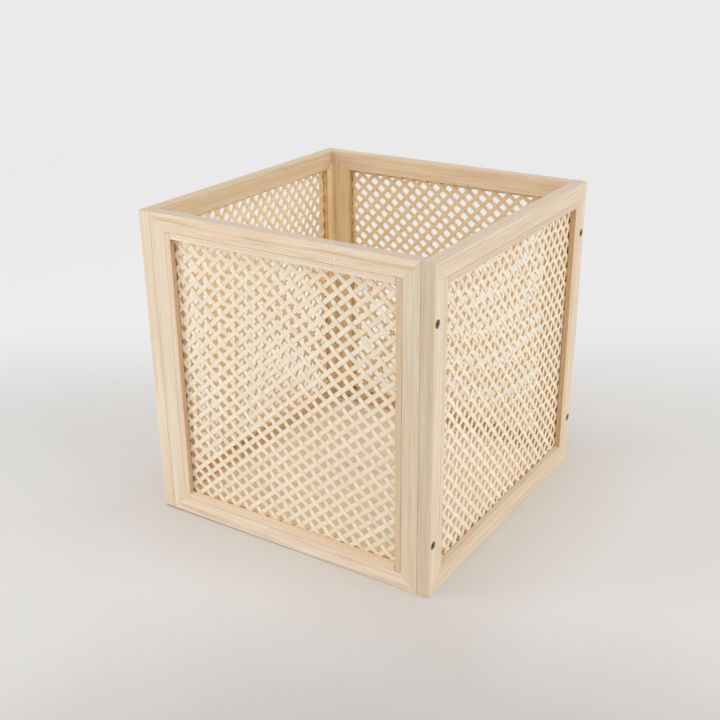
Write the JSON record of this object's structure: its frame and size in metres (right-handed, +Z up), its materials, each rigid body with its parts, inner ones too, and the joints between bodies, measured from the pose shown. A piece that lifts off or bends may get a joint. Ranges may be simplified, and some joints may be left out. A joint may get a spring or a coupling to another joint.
{
  "type": "lattice storage cube",
  "caption": "Open-topped cubic storage box of mitred pale wood frames with diagonal woven bamboo lattice panels, a thin bottom board and dark countersunk corner screws.",
  "frame": {"origin": "centre of the underside, on the surface that the cube stands on", "axes": "+Z up through the open top, the front lattice faces -Y, the face with the visible screws faces +X"},
  "size_m": [0.3, 0.3, 0.3],
  "materials": {
    "pale_timber": "sanded, unfinished",
    "bead_timber": "sanded, unfinished",
    "bamboo_strip": "split bamboo, satin",
    "plywood": "sanded plywood",
    "dark_screw_steel": "black oxide"
  },
  "bodies": {
    "root": {"front_top_rail": "pale_timber", "front_bottom_rail": "pale_timber", "front_left_stile": "pale_timber", "front_right_stile": "pale_timber", "front_top_bead": "bead_timber", "front_bottom_bead": "bead_timber", "front_left_bead": "bead_timber", "front_right_bead": "bead_timber", "front_lattice": "bamboo_strip", "back_top_rail": "pale_timber", "back_bottom_rail": "pale_timber", "back_left_stile": "pale_timber", "back_right_stile": "pale_timber", "back_top_bead": "bead_timber", "back_bottom_bead": "bead_timber", "back_left_bead": "bead_timber", "back_right_bead": "bead_timber", "back_lattice": "bamboo_strip", "left_top_rail": "pale_timber", "left_bottom_rail": "pale_timber", "left_front_stile": "pale_timber", "left_back_stile": "pale_timber", "left_top_bead": "bead_timber", "left_bottom_bead": "bead_timber", "left_front_bead": "bead_timber", "left_back_bead": "bead_timber", "left_lattice": "bamboo_strip", "right_top_rail": "pale_timber", "right_bottom_rail": "pale_timber", "right_front_stile": "pale_timber", "right_back_stile": "pale_timber", "right_top_bead": "bead_timber", "right_bottom_bead": "bead_timber", "right_front_bead": "bead_timber", "right_back_bead": "bead_timber", "right_lattice": "bamboo_strip", "bottom_board": "plywood", "screw_left_front_lower": "dark_screw_steel", "screw_left_front_upper": "dark_screw_steel", "screw_left_back_lower": "dark_screw_steel", "screw_left_back_upper": "dark_screw_steel", "screw_right_front_lower": "dark_screw_steel", "screw_right_front_upper": "dark_screw_steel", "screw_right_back_lower": "dark_screw_steel", "screw_right_back_upper": "dark_screw_steel"}
  },
  "joints": []
}
